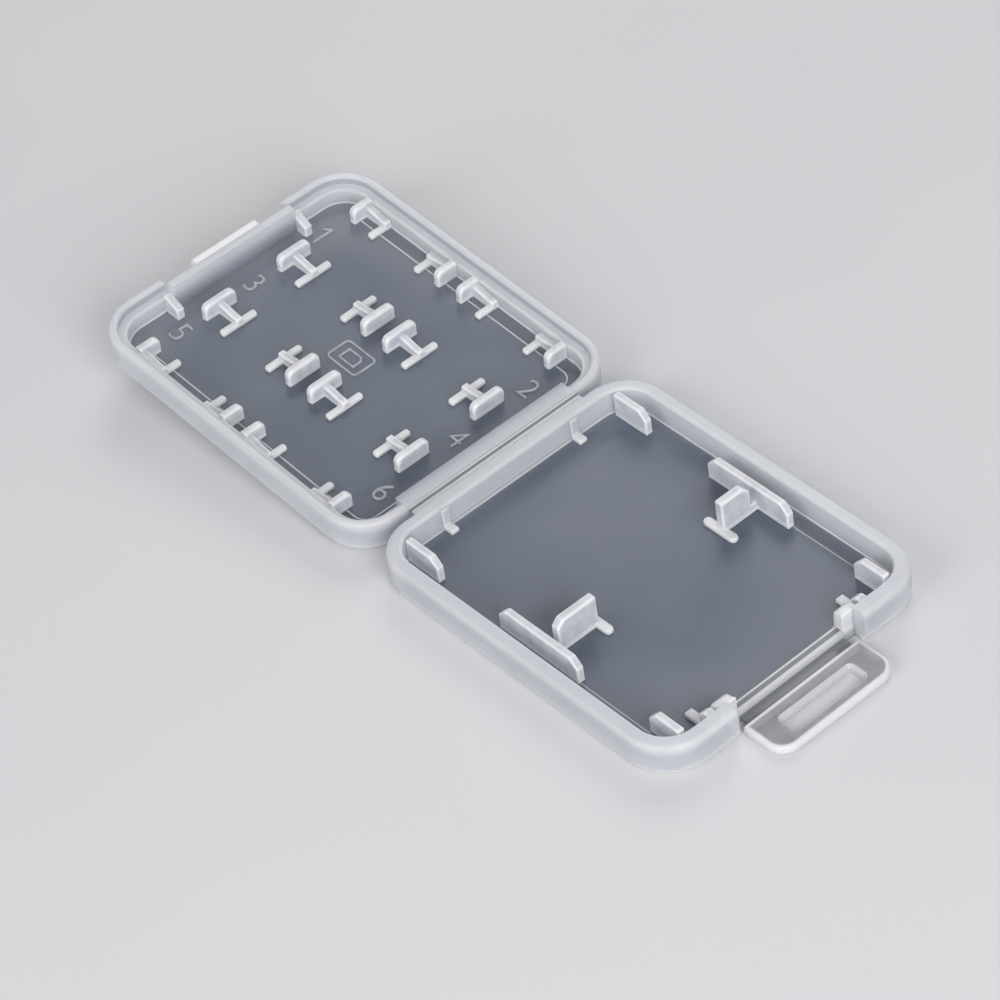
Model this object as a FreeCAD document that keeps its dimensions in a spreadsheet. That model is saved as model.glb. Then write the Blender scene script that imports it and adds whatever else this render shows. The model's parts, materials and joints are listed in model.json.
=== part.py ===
"""A pocket memory card case: a base and a lid on a living hinge, and a clasp flap on another.

Millimetres and degrees. The lid's fold axis lies along Y. The base reaches from it towards +X and
the lid towards -X, open, with the lid's free edge a little raised. The origin is under the middle
of the whole case, on the surface that the base stands on.
"""
import FreeCAD, Part
import math
import os
import re

import Sketcher

# Every driving size, with what it measures
SIZES = {
    "large_card_width": (24.0, "large card, along X"),
    "large_card_length": (32.0, "large card, along Y"),
    "small_card_width": (20.0, "small card, along X"),
    "small_card_length": (31.0, "small card, along Y"),
    "micro_card_width": (11.0, "micro card, along Y"),
    "micro_card_length": (15.0, "micro card, along X"),
    "bay_clearance": (0.4, "room across a large or small card's width"),
    "guide_clearance": (0.3, "room at each end of a large or small card"),
    "micro_clearance": (0.3, "room round a micro card, each way"),
    "base_height": (4.75, "base, from its underside to its rim"),
    "lid_height": (4.75, "lid, from its outer face to its rim"),
    "floor_thickness": (1.25, "floor of base and lid"),
    "base_wall": (2.0, "wall of the base"),
    "lid_wall": (2.2, "wall of the lid under its ledge"),
    "lid_lip": (1.1, "lid's thin outer lip above its ledge"),
    "lid_step": (1.4, "depth of the lid's ledge under its rim"),
    "corner_radius": (6.1, "upright corners"),
    "bottom_round": (1.2, "edge round the underside"),
    "base_crown": (0.8, "outer edge of the base's rim"),
    "lid_crown": (0.55, "outer edge of the lid's rim"),
    "rim_round": (0.35, "inner edges of rims and edges of plates"),
    "label_inset": (4.2, "label recess, from the outline"),
    "label_depth": (0.25, "label recess, depth in the outer face"),
    "label_corner": (3.0, "label recess, corner radius"),
    "hinge_gap": (1.1, "base to lid across the hinge"),
    "hinge_length": (27.0, "hinge film along Y"),
    "hinge_root": (1.0, "square edge that the hinge film leaves from"),
    "film_thickness": (0.35, "both hinge films"),
    "film_drop": (0.05, "hinge film under the rims"),
    "film_slack": (0.05, "hinge film short of the lid"),
    "rim_clearance": (0.05, "each rim to the fold axis"),
    "lid_rest_angle": (5.0, "how far the open lid stands above flat"),
    "rib_thickness": (1.2, "wall ribs along Y"),
    "rib_step": (0.2, "hinge ribs proud of the wall"),
    "rib_drop": (0.4, "ribs under the rim"),
    "rib_lead": (0.8, "sloped top of a front rib"),
    "rib_spacing": (20.8, "hinge ribs, centre to centre"),
    "rib_margin": (0.35, "front rib to base post"),
    "foot_height": (0.6, "feet that lift a card"),
    "hinge_foot": (1.6, "foot of a hinge rib along X"),
    "front_foot": (2.6, "foot of a front rib past the rib"),
    "guide_thickness": (1.0, "guide plates and divider bars"),
    "guide_drop": (0.1, "guide plates under the rim"),
    "guide_gap": (0.2, "guide plates to the wall behind them"),
    "guide_slope": (1.2, "cut-off top corner of a guide plate"),
    "hinge_guide_length": (6.3, "guide plate by the hinge"),
    "front_guide_length": (5.4, "guide plate by the clasp"),
    "vane_thickness": (1.2, "upright vane of a divider"),
    "near_vane_width": (7.0, "near vane from its bar inwards"),
    "far_vane_width": (5.5, "far vane from its bar inwards"),
    "vane_gap": (1.0, "vane to its bar above their web"),
    "vane_web": (1.4, "web between vane and bar above the floor"),
    "vane_height": (4.7, "vane above the floor"),
    "vane_slope": (0.9, "cut-off top corner of a vane"),
    "bar_back": (7.3, "divider bar from its vane towards the hinge"),
    "bar_front": (5.2, "divider bar from its vane towards the clasp"),
    "crossbar_length": (5.4, "low crossbar of a divider along X"),
    "crossbar_width": (1.2, "low crossbar of a divider along Y"),
    "web_thickness": (1.0, "clip web between two micro cards"),
    "arm_thickness": (1.1, "tall arm of a clip"),
    "arm_length": (5.1, "tall arm of a clip along Y"),
    "arm_height": (2.4, "tall arm of a clip above the floor"),
    "arm_crown": (0.9, "top corners of a tall arm"),
    "arm_round": (0.3, "edges of a clip's arms"),
    "support_thickness": (1.0, "low arm of a clip"),
    "support_length": (5.6, "low arm of a clip along Y"),
    "support_offset": (3.2, "low arm from the tall arm's face"),
    "web_drop": (0.5, "web's crest under the tall arm's top"),
    "web_end_height": (1.3, "web above the floor over the low arm"),
    "row_gap": (3.1, "between the two rows of bays"),
    "label_strip": (5.25, "lid's numeral strip by the hinge"),
    "number_strip": (4.2, "lid's numeral strip by the free edge"),
    "side_gap": (0.1, "outer web to the lid's wall"),
    "flap_side_clearance": (0.7, "clasp flap to each side of its notch"),
    "post_thickness": (1.1, "side walls of the clasp notch"),
    "post_reach": (1.6, "base posts inwards from the notch's sides"),
    "post_drop": (0.6, "base posts under the rim"),
    "post_round": (0.8, "inner top corner of a base post"),
    "lid_post_reach": (2.6, "lid's notch post from the wall"),
    "lid_post_tip": (1.6, "lid's notch post above the floor at its tip"),
    "notch_step": (0.1, "notch's face out from the base wall's inner face"),
    "sill_depth": (1.85, "sill in the base's notch along X"),
    "sill_height": (0.5, "sill above the floor"),
    "sill_slope": (0.35, "sloped inner edge of the sill"),
    "catch_wall": (1.1, "lid's wall in the notch"),
    "catch_rise": (0.5, "lid's wall in the notch above the rim"),
    "lug_width": (10.2, "lug along Y"),
    "lug_height": (1.4, "lug across the slot"),
    "lug_reach": (1.5, "lug out of the catch wall"),
    "lug_lead": (0.45, "sloped edge of the lug"),
    "slot_clearance_side": (0.45, "slot at each end of the lug"),
    "slot_clearance_rise": (0.55, "slot above and under the lug"),
    "slot_bevel": (0.4, "bevel round the slot"),
    "slot_corner": (0.4, "corner radius of the slot"),
    "flap_width": (18.6, "clasp flap along Y"),
    "flap_thickness": (1.2, "clasp flap"),
    "flap_margin": (1.7, "clasp flap past its slot"),
    "flap_corner": (2.5, "outer corners of the clasp flap"),
    "flap_clearance": (0.15, "shut flap to the sill and the catch wall"),
    "tip_clearance": (0.3, "shut flap's tip to the lid's notch"),
    "clasp_film_length": (1.7, "clasp film along X"),
    "clasp_film_level": (0.5, "clasp film above the underside"),
    "clasp_film_inset": (1.0, "clasp film short of the flap's sides"),
}

# Places and sizes that follow from the ones above
DERIVED = {
    "half_gap": "hinge_gap / 2",
    "large_bay": "large_card_width + bay_clearance",
    "small_bay": "small_card_width + bay_clearance",
    "micro_bay": "micro_card_length + micro_clearance",
    "micro_pitch": "micro_card_width + micro_clearance + web_thickness",
    "face_four": "half_gap + lid_wall + label_strip + arm_thickness",
    "face_three": "face_four + micro_bay",
    "face_two": "face_three + 2 * arm_thickness + row_gap",
    "face_one": "face_two + micro_bay",
    "base_chain": "2 * base_wall + rib_step + large_bay + vane_thickness + small_bay + sill_depth - notch_step",
    "lid_chain": "2 * lid_wall + label_strip + number_strip + 4 * arm_thickness + 2 * micro_bay + row_gap",
    "case_length": "max(base_chain; lid_chain)",
    "guide_half": "large_card_length / 2 + guide_clearance",
    "small_half": "small_card_length / 2 + guide_clearance",
    "base_chain_half": "max(guide_half; small_half) + guide_thickness + base_wall",
    "lid_chain_half": "1.5 * micro_pitch + web_thickness / 2 + side_gap + lid_wall",
    "half_width": "max(base_chain_half; lid_chain_half)",
    "front_face": "half_gap + case_length",
    "hinge_inner": "half_gap + base_wall",
    "front_inner": "front_face - base_wall",
    "recess_face": "front_inner + notch_step",
    "sill_inner": "recess_face - sill_depth",
    "vane_back": "hinge_inner + rib_step + large_bay",
    "vane_front": "vane_back + vane_thickness",
    "guide_top": "base_height - guide_drop",
    "notch_width": "flap_width + 2 * flap_side_clearance",
    "post_inner": "notch_width / 2",
    "post_outer": "post_inner + post_thickness",
    "front_rib_place": "post_outer + rib_margin + rib_thickness / 2",
    "base_corner": "max(corner_radius - base_wall; rim_round)",
    "lid_corner": "max(corner_radius - lid_wall; rim_round)",
    "lip_corner": "max(corner_radius - lid_lip; rim_round)",
    "corner_start": "half_width - base_wall - base_corner",
    "fold_height": "max(base_height; lid_height) + rim_clearance",
    "lid_rim": "-rim_clearance",
    "lid_bottom": "lid_rim - lid_height",
    "lid_floor": "lid_bottom + floor_thickness",
    "lid_inner": "front_face - lid_wall",
    "lid_side": "half_width - lid_wall",
    "lug_top": "lid_rim + catch_rise",
    "clasp_axis_height": "clasp_film_level + film_thickness / 2",
    "clasp_axis": "recess_face + flap_clearance + flap_thickness - clasp_axis_height",
    "flap_start": "recess_face + clasp_film_length",
    "slot_middle": "clasp_axis + fold_height - lug_top + lug_height / 2 - clasp_axis_height",
    "slot_half": "lug_height / 2 + slot_clearance_rise",
    "slot_side": "lug_width / 2 + slot_clearance_side",
    "flap_end": "slot_middle + slot_half + flap_margin",
    "shut_tip": "clasp_axis_height + flap_end - clasp_axis + tip_clearance",
    "lid_reach": "cos(lid_rest_angle * 1 deg) * (front_face - bottom_round)"
                 " - sin(lid_rest_angle * 1 deg) * (lid_bottom + bottom_round) + bottom_round",
    "fold_place": "(lid_reach - flap_end) / 2",
}

OUTSIDE = "1"  # how far a cut runs out past the face it opens

doc = FreeCAD.newDocument("memory_card_case")
sheet = doc.addObject("Spreadsheet::Sheet", "Sizes")
for row, (alias, (value, meaning)) in enumerate(SIZES.items(), start=1):
    sheet.set(f"A{row}", alias)
    sheet.set(f"B{row}", str(value))
    sheet.set(f"C{row}", meaning)
    sheet.setAlias(f"B{row}", alias)
doc.recompute()


def bound(text):
    """The text as an expression: derived names spelled out, sizes read from the sheet."""

    def spell(match):
        word = match.group(0)
        if word in DERIVED:
            return "(" + bound(DERIVED[word]) + ")"
        if word in SIZES:
            return "Sizes." + word
        return word

    return re.sub(r"[a-z][a-z_]*", spell, text)


def new_body(label):
    """An empty sub-part."""
    body = doc.addObject("PartDesign::Body", label)
    body.Label = label
    return body


def outline(body, name, role, corners, level="0"):
    """A closed outline on one of the body's own planes, each corner held by sizes of the sheet."""
    plane = next(item for item in body.Origin.OriginFeatures if item.Role == role)
    sketch = body.newObject("Sketcher::SketchObject", f"{body.Name}_{name}_outline")
    sketch.AttachmentSupport = [(plane, "")]
    sketch.MapMode = "FlatFace"
    sketch.setExpression("AttachmentOffset.Base.z", bound(level))
    count = len(corners)
    turns = [2 * math.pi * index / count for index in range(count)]
    start = [FreeCAD.Vector(math.cos(turn), math.sin(turn), 0) for turn in turns]
    for index in range(count):
        sketch.addGeometry(Part.LineSegment(start[index], start[(index + 1) % count]))
    for index in range(count):
        sketch.addConstraint(Sketcher.Constraint("Coincident", index, 2, (index + 1) % count, 1))
    for index, (across, along) in enumerate(corners):
        places = (("DistanceX", start[index].x, across), ("DistanceY", start[index].y, along))
        for kind, first, text in places:
            held = sketch.addConstraint(Sketcher.Constraint(kind, -1, 1, index, 1, first))
            sketch.setExpression(f"Constraints[{held}]", bound(text))
    return sketch


def rectangle(low_x, high_x, low_y, high_y):
    """The corners of a rectangle."""
    return [(low_x, low_y), (high_x, low_y), (high_x, high_y), (low_x, high_y)]


def pad(body, name, sketch, length, symmetric=False):
    """Adds material along the outline's normal."""
    feature = body.newObject("PartDesign::Pad", f"{body.Name}_{name}")
    feature.Profile = sketch
    feature.setExpression("Length", bound(length))
    if symmetric:
        feature.SideType = "Symmetric"
    doc.recompute()
    return feature


def pocket(body, name, sketch, depth, upward=False):
    """Cuts from the outline's plane down, or up, and makes sure that something was cut."""
    before = body.Tip.Shape.Volume
    feature = body.newObject("PartDesign::Pocket", f"{body.Name}_{name}")
    feature.Profile = sketch
    feature.Reversed = upward
    feature.setExpression("Length", bound(depth))
    doc.recompute()
    if not feature.Shape.Volume < before:
        raise ValueError(f"{feature.Name} cuts nothing")
    return feature


def dress(body, kind, name, chosen, size):
    """Rounds (Fillet, Radius) or bevels (Chamfer, Size) the chosen edges of the body so far."""
    doc.recompute()
    base = body.Tip
    edges = [f"Edge{index}" for index, edge in enumerate(base.Shape.Edges, start=1) if chosen(edge)]
    if not edges:
        raise ValueError(f"{body.Name} has no edge for {name}")
    feature = body.newObject(f"PartDesign::{kind}", f"{body.Name}_{name}")
    feature.Base = (base, edges)
    feature.setExpression("Radius" if kind == "Fillet" else "Size", bound(size))
    doc.recompute()
    return feature


NEAR = 1e-5


def is_upright(edge):
    """True for an edge along Z."""
    box = edge.BoundBox
    return box.ZLength > NEAR and box.XLength < NEAR and box.YLength < NEAR


def is_level(edge, height=None):
    """True for a level edge, at the given height if there is one."""
    box = edge.BoundBox
    return box.ZLength < NEAR and (height is None or abs(box.ZMin - height) < NEAR)


def is_within(edge, sketch):
    """True for an edge inside an outline's plan, its border included."""
    own = edge.BoundBox
    plan = sketch.Shape.BoundBox
    in_x = own.XMin > plan.XMin - NEAR and own.XMax < plan.XMax + NEAR
    in_y = own.YMin > plan.YMin - NEAR and own.YMax < plan.YMax + NEAR
    return in_x and in_y


def is_corner(edge, sketch):
    """True for an upright edge over a corner of a rectangular outline."""
    own = edge.BoundBox
    plan = sketch.Shape.BoundBox
    at_x = min(abs(own.XMin - plan.XMin), abs(own.XMax - plan.XMax)) < NEAR
    at_y = min(abs(own.YMin - plan.YMin), abs(own.YMax - plan.YMax)) < NEAR
    return is_upright(edge) and at_x and at_y


def seat_on_base(body):
    """Puts a sub-part of the base, or a film or the flap, in its place."""
    body.setExpression("Placement.Base.x", bound("fold_place"))


def seat_on_lid(body):
    """Puts a sub-part of the lid in its place: on the fold axis, a little raised."""
    body.Placement = FreeCAD.Placement(FreeCAD.Vector(), FreeCAD.Rotation(FreeCAD.Vector(0, 1, 0), 1))
    body.setExpression("Placement.Base.x", bound("fold_place"))
    body.setExpression("Placement.Base.z", bound("fold_height"))
    body.setExpression("Placement.Rotation.Angle", bound("lid_rest_angle"))


def frame_of(side, inset):
    """The outline of base or lid, on its side of the fold axis, drawn in by an inset."""
    return rectangle(f"{side} * (half_gap + {inset})", f"{side} * (front_face - {inset})",
                     f"-(half_width - {inset})", f"half_width - {inset}")


def make_shell(label, side, bottom, height, crown, inner_cuts):
    """A rounded tray with a crowned rim, a label recess underneath and one or more cuts from its rim.

    Each inner cut is a name, its wall, its depth and its corner radius, the narrowest cut first.
    """
    body = new_body(label)
    pad(body, "block", outline(body, "block", "XY_Plane", frame_of(side, "0"), bottom), height)
    box = body.Tip.Shape.BoundBox

    def is_from_rim(edge):
        return is_upright(edge) and abs(edge.BoundBox.ZMax - box.ZMax) < NEAR

    for name, wall, depth, corner in inner_cuts:
        inside = outline(body, name, "XY_Plane", frame_of(side, wall), f"{bottom} + {height}")
        pocket(body, name, inside, depth)
        dress(body, "Fillet", f"{name}_corners",
              lambda edge: is_from_rim(edge) and is_within(edge, inside), corner)
    dress(body, "Fillet", "corners",
          lambda edge: is_from_rim(edge) and not is_within(edge, inside), "corner_radius")
    dress(body, "Fillet", "underside", lambda edge: is_level(edge, box.ZMin), "bottom_round")
    dress(body, "Fillet", "crown",
          lambda edge: is_level(edge, box.ZMax) and not is_within(edge, inside), crown)
    dress(body, "Fillet", "rim",
          lambda edge: is_level(edge, box.ZMax) and is_within(edge, inside), "rim_round")
    label_area = outline(body, "label", "XY_Plane", frame_of(side, "label_inset"), bottom)
    pocket(body, "label", label_area, "label_depth", upward=True)
    dress(body, "Fillet", "label_corners",
          lambda edge: is_upright(edge) and abs(edge.BoundBox.ZMin - box.ZMin) < NEAR, "label_corner")
    return body


def make_base_tray():
    """The base: tray, square edge for the hinge film, clasp notch and sill."""
    inner_cuts = [("inside", "base_wall", "base_height - floor_thickness", "base_corner")]
    body = make_shell("base_tray", "1", "0", "base_height", "base_crown", inner_cuts)
    edge = rectangle("half_gap", "half_gap + hinge_root", "-hinge_length / 2", "hinge_length / 2")
    edge_sketch = outline(body, "hinge_edge", "XY_Plane", edge, "base_height - hinge_root")
    pad(body, "hinge_edge", edge_sketch, "hinge_root")
    notch = rectangle("recess_face", f"front_face + {OUTSIDE}", "-post_inner", "post_inner")
    pocket(body, "notch", outline(body, "notch", "XY_Plane", notch, "base_height"), "base_height")
    mouth = rectangle("sill_inner", f"recess_face + {OUTSIDE}", "-post_inner", "post_inner")
    pocket(body, "mouth", outline(body, "mouth", "XY_Plane", mouth, "base_height"),
           "base_height - floor_thickness")
    sill_top = "floor_thickness + sill_height"
    sill = [("sill_inner", "floor_thickness / 2"), ("recess_face", "floor_thickness / 2"),
            ("recess_face", sill_top), ("sill_inner + sill_slope", sill_top),
            ("sill_inner", "floor_thickness")]
    sill_length = "notch_width - 2 * post_reach"
    pad(body, "sill", outline(body, "sill", "XZ_Plane", sill), sill_length, symmetric=True)
    seat_on_base(body)
    return body


def make_lid_shell():
    """The lid: tray with a ledge inside its thin lip, hinge edge, clasp notch and catch wall."""
    inner_cuts = [("inside", "lid_wall", "lid_height - floor_thickness", "lid_corner"),
                  ("ledge", "lid_lip", "lid_step", "lip_corner")]
    body = make_shell("lid_shell", "-1", "lid_bottom", "lid_height", "lid_crown", inner_cuts)
    edge = rectangle("-(half_gap + lid_wall)", "-half_gap", "-hinge_length / 2", "hinge_length / 2")
    edge_sketch = outline(body, "hinge_edge", "XY_Plane", edge, "lid_rim - lid_step")
    pad(body, "hinge_edge", edge_sketch, "lid_step")
    notch = rectangle("-recess_face", f"-(front_face + {OUTSIDE})", "-post_inner", "post_inner")
    pocket(body, "notch", outline(body, "notch", "XY_Plane", notch, "lid_rim"),
           "lid_rim - fold_height + shut_tip")
    catch = rectangle("-recess_face", "-(recess_face - catch_wall)", "-post_inner", "post_inner")
    pad(body, "catch_wall", outline(body, "catch_wall", "XY_Plane", catch, "lid_floor - floor_thickness / 2"),
        "lug_top - lid_floor + floor_thickness / 2")
    seat_on_lid(body)
    return body


def make_plate(label, profile, place, thickness):
    """An upright plate with a profile in XZ, its middle at a place along Y."""
    body = new_body(label)
    sketch = outline(body, "profile", "XZ_Plane", profile, f"-({place})")
    pad(body, "plate", sketch, thickness, symmetric=True)
    return body


def corner_bite(place):
    """How far a rounded inner corner of the base stands out from its wall at a place along Y."""
    past = f"max(0; {place} - corner_start)"
    return f"(base_corner - sqrt(max(0; base_corner ^ 2 - ({past}) ^ 2)))"


def make_hinge_guide(name, side):
    """A plate by the hinge wall that centres the large card."""
    start = f"hinge_inner + guide_gap + {corner_bite('guide_half + guide_thickness')}"
    end = "hinge_inner + guide_gap + hinge_guide_length"
    profile = [(start, "floor_thickness"), (end, "floor_thickness"), (end, "guide_top - guide_slope"),
               (f"{end} - guide_slope", "guide_top"), (start, "guide_top")]
    place = f"{side} * (guide_half + guide_thickness / 2)"
    return make_plate(f"hinge_guide_{name}", profile, place, "guide_thickness")


def make_front_guide(name, side):
    """A plate by the front wall that centres the small card."""
    start = f"front_inner - guide_gap - {corner_bite('small_half + guide_thickness')}"
    end = "front_inner - guide_gap - front_guide_length"
    profile = [(start, "floor_thickness"), (end, "floor_thickness"), (end, "guide_top - guide_slope"),
               (f"{end} + guide_slope", "guide_top"), (start, "guide_top")]
    place = f"{side} * (small_half + guide_thickness / 2)"
    return make_plate(f"front_guide_{name}", profile, place, "guide_thickness")


def make_hinge_rib(name, side):
    """A shallow rib on the hinge wall with a foot under the large card."""
    foot_top = "floor_thickness + foot_height"
    rib_top = "base_height - rib_drop"
    profile = [("hinge_inner", "floor_thickness"), ("hinge_inner + hinge_foot", "floor_thickness"),
               ("hinge_inner + hinge_foot", foot_top), ("hinge_inner + rib_step", foot_top),
               ("hinge_inner + rib_step", f"{rib_top} - rib_step"), ("hinge_inner", rib_top)]
    return make_plate(f"hinge_rib_{name}", profile, f"{side} * rib_spacing / 2", "rib_thickness")


def make_front_rib(name, side):
    """A rib on the front wall that stops the small card, with a foot under it."""
    foot_top = "floor_thickness + foot_height"
    foot_end = "sill_inner - front_foot"
    rib_top = "base_height - rib_drop"
    profile = [("front_inner", "floor_thickness"), (foot_end, "floor_thickness"), (foot_end, foot_top),
               ("sill_inner", foot_top), ("sill_inner", f"{rib_top} - rib_lead"),
               ("sill_inner + rib_lead", rib_top), ("front_inner", rib_top)]
    return make_plate(f"front_rib_{name}", profile, f"{side} * front_rib_place", "rib_thickness")


def make_base_post(name, side):
    """A side wall of the base's clasp notch."""
    top = "base_height - post_drop"
    profile = [("sill_inner", "floor_thickness"), ("front_inner", "floor_thickness"), ("front_inner", top),
               ("sill_inner", top)]
    place = f"{side} * (post_outer - (post_thickness + post_reach) / 2)"
    body = make_plate(f"base_post_{name}", profile, place, "post_thickness + post_reach")
    box = body.Tip.Shape.BoundBox

    def is_inner_top(edge):
        return is_level(edge, box.ZMax) and edge.BoundBox.XMax < box.XMin + NEAR

    dress(body, "Fillet", "crown", is_inner_top, "post_round")
    return body


def make_lid_post(name, side):
    """A side wall of the lid's clasp notch, sloping down to its tip."""
    tip = "-(lid_inner - lid_post_reach)"
    profile = [("-lid_inner", "lid_floor"), (tip, "lid_floor"), (tip, "lid_floor + lid_post_tip"),
               ("-lid_inner", "lid_rim - lid_step / 2")]
    place = f"{side} * (post_inner + post_thickness / 2)"
    return make_plate(f"lid_post_{name}", profile, place, "post_thickness")


def make_divider(name, side):
    """A divider between the base's two bays: bar along X, upright vane and low crossbar."""
    body = new_body(f"divider_{name}")
    back = "vane_back - bar_back"
    front = "vane_front + bar_front"
    bar = [(back, "floor_thickness"), (front, "floor_thickness"), (front, "guide_top - guide_slope"),
           (f"{front} - guide_slope", "guide_top"), (f"{back} + guide_slope", "guide_top"),
           (back, "guide_top - guide_slope")]
    bar_place = f"-({side} * (guide_half + guide_thickness / 2))"
    pad(body, "bar", outline(body, "bar", "XZ_Plane", bar, bar_place), "guide_thickness", symmetric=True)
    vane_top = "floor_thickness + vane_height"
    root = f"{side} * (guide_half + guide_thickness / 2)"
    inner = f"{side} * (guide_half - {name}_vane_width)"
    outer = f"{side} * (guide_half - vane_gap)"
    web_top = "floor_thickness + vane_web"
    vane = [(root, "floor_thickness"), (inner, "floor_thickness"), (inner, vane_top),
            (f"{outer} - {side} * vane_slope", vane_top), (outer, f"{vane_top} - vane_slope"),
            (outer, web_top), (root, web_top)]
    vane_place = "vane_back + vane_thickness / 2"
    pad(body, "vane", outline(body, "vane", "YZ_Plane", vane, vane_place), "vane_thickness", symmetric=True)
    crossbar = rectangle(f"{vane_place} - crossbar_length / 2", f"{vane_place} + crossbar_length / 2",
                         f"{inner} - crossbar_width / 2", f"{inner} + crossbar_width / 2")
    sketch = outline(body, "crossbar", "XY_Plane", crossbar, "floor_thickness")
    pad(body, "crossbar", sketch, "foot_height")
    dress(body, "Fillet", "crossbar_ends", lambda edge: is_corner(edge, sketch), "crossbar_width * 0.45")
    return body


# Each row of lid clips: the face of its tall arms, and which way its bays lie from the fold axis
ROWS = {1: ("face_one", "-1"), 2: ("face_two", "1"), 3: ("face_three", "-1"), 4: ("face_four", "1")}
# Each column of lid clips, in pitches from the middle
COLUMNS = {1: -1.5, 2: -0.5, 3: 0.5, 4: 1.5}


def make_lid_clip(row, column):
    """A clip of the lid: tall arm at a card's end, web between two cards, low arm under them."""
    body = new_body(f"lid_clip_r{row}_c{column}")
    face, way = ROWS[row]
    pitches = COLUMNS[column]
    middle = f"{pitches} * micro_pitch"
    by_wall = abs(pitches) > 1

    def reach(length):
        """Where an arm runs along Y: both ways from its web, or from the wall inwards."""
        if not by_wall:
            return f"{middle} - {length} / 2", f"{middle} + {length} / 2"
        if pitches > 0:
            return f"{middle} - {length} / 2", "lid_side"
        return "-lid_side", f"{middle} + {length} / 2"

    def is_free(edge):
        """True for an edge that isn't against the wall."""
        return not by_wall or abs(edge.BoundBox.Center.y) < wall_side

    arm = rectangle(f"-{face}", f"-({face} - {way} * arm_thickness)", *reach("arm_length"))
    arm_sketch = outline(body, "arm", "XY_Plane", arm, "lid_floor")
    pad(body, "arm", arm_sketch, "arm_height")
    plan = arm_sketch.Shape.BoundBox
    wall_side = max(abs(plan.YMin), abs(plan.YMax)) - NEAR
    box = body.Tip.Shape.BoundBox

    def is_crown(edge):
        return is_level(edge, box.ZMax) and edge.BoundBox.YLength < NEAR and is_free(edge)

    def is_face_edge(edge):
        return edge.BoundBox.XLength < NEAR and not is_level(edge, box.ZMin) and is_free(edge)

    dress(body, "Fillet", "arm_crown", is_crown, "arm_crown")
    dress(body, "Fillet", "arm_edges", is_face_edge, "arm_round")
    web_end = f"-({face} + {way} * support_offset)"
    web_root = f"-({face} - {way} * arm_thickness / 2)"
    web_far = f"{web_end} - {way} * support_thickness / 2"
    web_near = f"{web_end} + {way} * support_thickness / 2"
    web = [(web_root, "lid_floor"), (web_far, "lid_floor"), (web_far, "lid_floor + web_end_height"),
           (web_near, "lid_floor + web_end_height"), (web_root, "lid_floor + arm_height - web_drop")]
    web_sketch = outline(body, "web", "XZ_Plane", web, f"-({middle})")
    pad(body, "web", web_sketch, "web_thickness", symmetric=True)
    support = rectangle(f"{web_end} - support_thickness / 2", f"{web_end} + support_thickness / 2",
                        *reach("support_length"))
    support_sketch = outline(body, "support", "XY_Plane", support, "lid_floor")
    pad(body, "support", support_sketch, "foot_height")
    dress(body, "Fillet", "support_ends",
          lambda edge: is_corner(edge, support_sketch) and is_free(edge),
          "min(arm_round; support_thickness * 0.45)")
    return body


def make_catch_lug():
    """The bar on the catch wall that goes through the clasp's slot, sloped where the slot meets it."""
    end = "-(recess_face + lug_reach)"
    profile = [("-recess_face", "lug_top"), (f"{end} + lug_lead", "lug_top"),
               (end, "lug_top - lug_lead"), (end, "lug_top - lug_height"),
               ("-recess_face", "lug_top - lug_height")]
    return make_plate("catch_lug", profile, "0", "lug_width")


def make_clasp_flap():
    """The flap that folds up over the lug, with a bevelled slot."""
    body = new_body("clasp_flap")
    plate = rectangle("flap_start", "flap_end", "-flap_width / 2", "flap_width / 2")
    pad(body, "plate", outline(body, "plate", "XY_Plane", plate), "flap_thickness")
    box = body.Tip.Shape.BoundBox

    def is_outer(edge):
        return edge.BoundBox.XMax > box.XMin + NEAR

    dress(body, "Fillet", "corners", lambda edge: is_upright(edge) and is_outer(edge), "flap_corner")
    dress(body, "Fillet", "edges", lambda edge: is_level(edge) and is_outer(edge), "rim_round")
    slot = rectangle("slot_middle - slot_half", "slot_middle + slot_half", "-slot_side", "slot_side")
    slot_sketch = outline(body, "slot", "XY_Plane", slot, "flap_thickness")
    pocket(body, "slot", slot_sketch, "flap_thickness")
    dress(body, "Fillet", "slot_corners",
          lambda edge: is_upright(edge) and is_within(edge, slot_sketch), "slot_corner")
    dress(body, "Chamfer", "slot_bevel",
          lambda edge: is_level(edge, box.ZMax) and is_within(edge, slot_sketch), "slot_bevel")
    return body


def make_film(label, low_x, high_x, length, level):
    """A thin film that bends, from one segment to the next."""
    body = new_body(label)
    strip = rectangle(low_x, high_x, f"-({length}) / 2", f"({length}) / 2")
    pad(body, "strip", outline(body, "strip", "XY_Plane", strip, level), "film_thickness")
    return body


SIDES = {"near": "-1", "far": "1"}  # near is -Y, far is +Y

parts = [make_base_tray(), make_lid_shell()]
for name, side in SIDES.items():
    for make in (make_hinge_guide, make_front_guide, make_hinge_rib, make_front_rib, make_base_post,
                 make_divider):
        parts.append(make(name, side))
        seat_on_base(parts[-1])
    parts.append(make_lid_post(name, side))
    seat_on_lid(parts[-1])
for row in ROWS:
    for column in COLUMNS:
        parts.append(make_lid_clip(row, column))
        seat_on_lid(parts[-1])
parts.append(make_catch_lug())
seat_on_lid(parts[-1])
parts.append(make_clasp_flap())
seat_on_base(parts[-1])
parts.append(make_film("main_hinge_film", "-half_gap + film_slack", "half_gap", "hinge_length",
                       "base_height - film_drop - film_thickness"))
seat_on_base(parts[-1])
parts.append(make_film("clasp_hinge_film", "recess_face", "flap_start", "flap_width - 2 * clasp_film_inset",
                       "clasp_film_level"))
seat_on_base(parts[-1])
doc.recompute()

for item in doc.Objects:
    if "Invalid" in item.State or "Error" in item.State:
        raise ValueError(f"{item.Name} failed: {item.State}")
for part in parts:
    if part.Shape.isNull() or not part.Shape.isValid() or len(part.Shape.Solids) != 1:
        raise ValueError(f"{part.Label} isn't one valid solid")

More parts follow.
